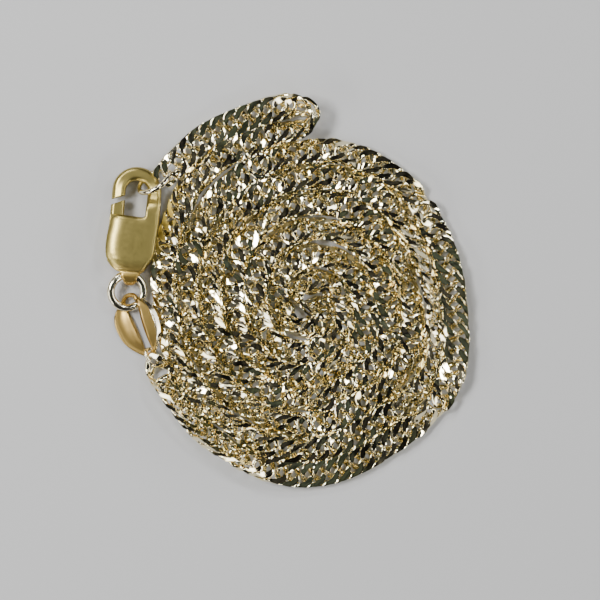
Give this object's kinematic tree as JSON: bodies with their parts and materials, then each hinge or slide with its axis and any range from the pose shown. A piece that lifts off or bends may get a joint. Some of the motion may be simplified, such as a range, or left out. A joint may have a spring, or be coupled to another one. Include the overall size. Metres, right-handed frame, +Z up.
{
  "type": "singapore chain necklace with a lobster clasp",
  "caption": "Fastened twisted curb neck chain lying in a flat double coil, with a lever clasp, jump ring, hook ring and an oval two-leaf end tag.",
  "frame": {"origin": "centre of the bottom of the whole necklace's box, on the surface it lies on", "axes": "+Z up out of the surface; +Y towards the clasp's hook and the fold of the chain; +X from the clasp across the coil"},
  "size_m": [0.0392, 0.0422, 0.0038],
  "materials": {
    "satin_gold": "satin yellow gold",
    "polished_gold": "polished, diamond-cut yellow gold"
  },
  "bodies": {
    "necklace": {"clasp_body": "satin_gold", "clasp_pin": "satin_gold", "jump_ring": "polished_gold", "oval_tag": "satin_gold", "hook_ring": "polished_gold", "tag_link": "polished_gold", "ring_link": "polished_gold", "chain": "polished_gold"},
    "lever": {"clasp_lever": "satin_gold"}
  },
  "joints": [
    {"name": "lever_hinge", "type": "hinge", "parent": "necklace", "child": "lever", "pos_m": [-0.01763, 0.00468, 0.00125], "axis": [0, 0, -1], "range_deg": [0, 20], "stiffness_Nm_per_rad": 0.002}
  ]
}
